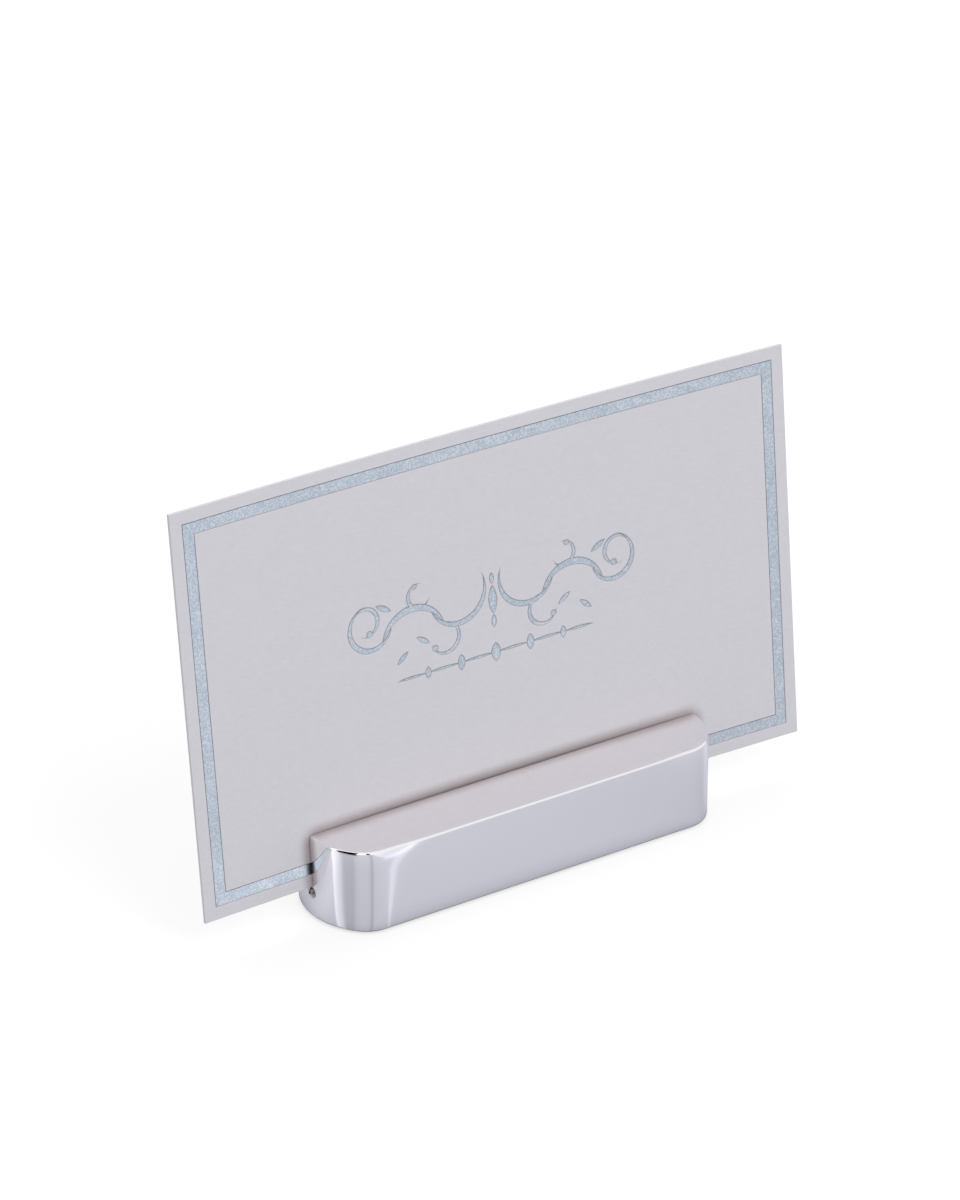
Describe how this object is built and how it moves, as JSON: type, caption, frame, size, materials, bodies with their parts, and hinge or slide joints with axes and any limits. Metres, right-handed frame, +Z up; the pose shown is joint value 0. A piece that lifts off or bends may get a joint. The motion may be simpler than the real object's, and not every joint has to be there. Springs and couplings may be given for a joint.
{
  "type": "place card holder",
  "caption": "Polished metal table card holder: a bar with a slanted slot that grips a bowed paper place card with a pressed foil frame.",
  "frame": {"origin": "middle of the flat face that the holder stands on, under the middle of the block", "axes": "+X along the block to the right of the card's front, +Y to the back, where the card leans, +Z up"},
  "size_m": [0.09, 0.0166, 0.0584],
  "materials": {
    "polished_metal": "mirror polished, nickel or silver plated",
    "pad_felt": "short dense felt",
    "card_paper": "smooth uncoated heavy paper",
    "pale_blue_foil": "hot pressed metal foil, satin to glossy"
  },
  "bodies": {
    "holder": {"holder_block": "polished_metal", "base_pad": "pad_felt"},
    "card": {"place_card": "card_paper", "foil_frame": "pale_blue_foil", "foil_ornament": "pale_blue_foil"}
  },
  "joints": [
    {"name": "card_lift", "type": "slide", "parent": "holder", "child": "card", "axis": [0, 0.1132, 0.9936], "range_m": [0, 0.012]}
  ]
}
